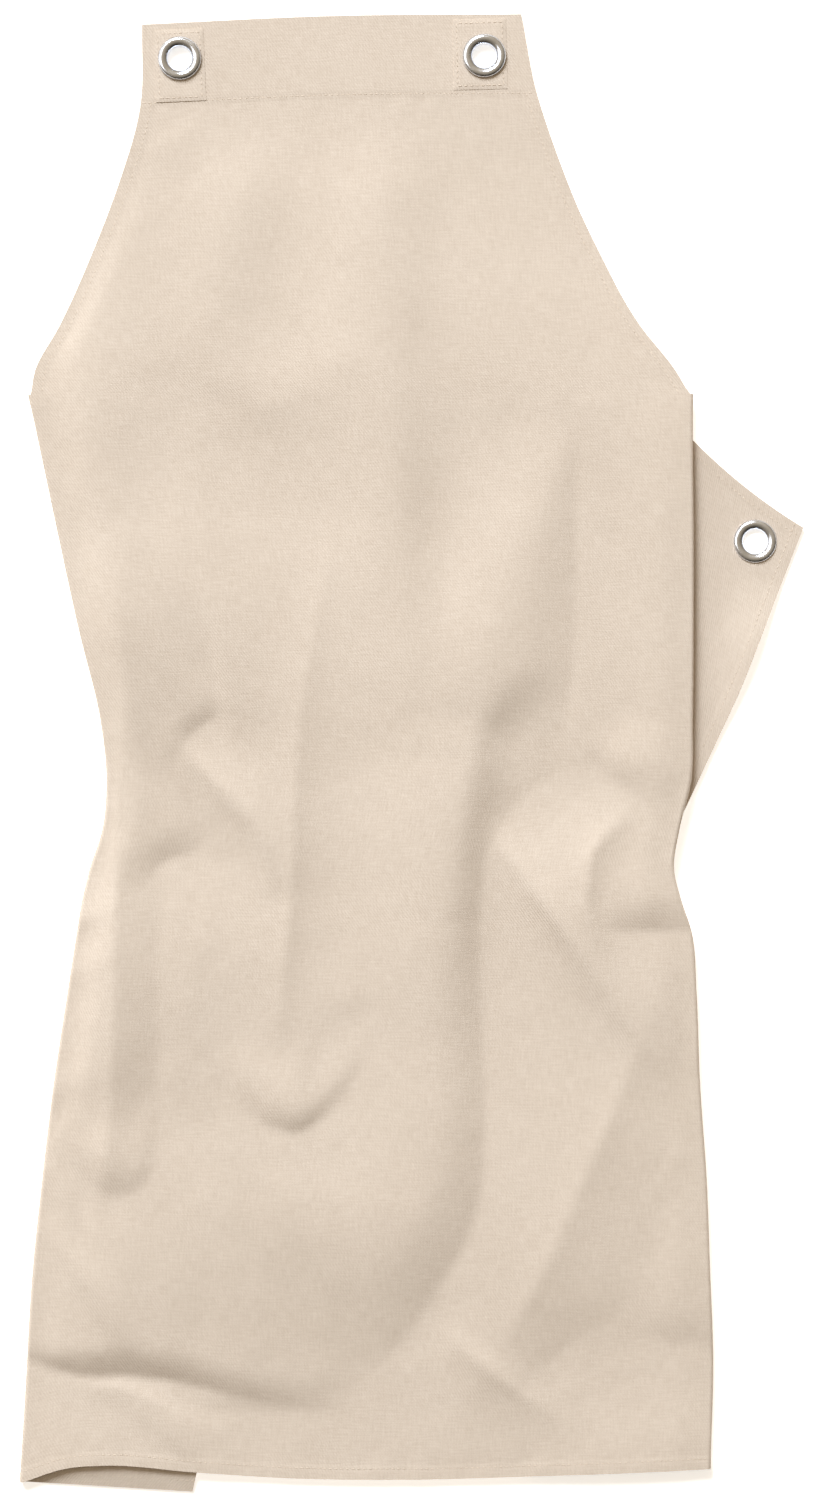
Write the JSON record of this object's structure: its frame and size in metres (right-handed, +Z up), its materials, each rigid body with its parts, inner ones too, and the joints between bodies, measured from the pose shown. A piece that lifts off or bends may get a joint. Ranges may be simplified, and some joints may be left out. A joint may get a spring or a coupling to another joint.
{
  "type": "bib apron",
  "caption": "Plain twill bib apron laid flat with its sides turned under, metal eyelets in the bib corners and side wings for hook-on straps.",
  "frame": {"origin": "on the table, under the middle of the laid apron's box", "axes": "+Y from the hem to the top of the bib, +X to the side whose corner is folded out, +Z up from the table out of the apron's face"},
  "size_m": [0.4555, 0.8585, 0.0181],
  "materials": {
    "twill": "matt sand-coloured cotton and polyester twill",
    "nickel": "bright nickel plate on pressed brass"
  },
  "bodies": {
    "root": {"apron_body": "twill", "eyelet_patch_left": "twill", "eyelet_patch_right": "twill", "eyelet_bib_left": "nickel", "eyelet_bib_right": "nickel", "eyelet_side_left": "nickel", "eyelet_side_right": "nickel", "washer_bib_left": "nickel", "washer_bib_right": "nickel", "washer_side_left": "nickel", "washer_side_right": "nickel"}
  },
  "joints": []
}
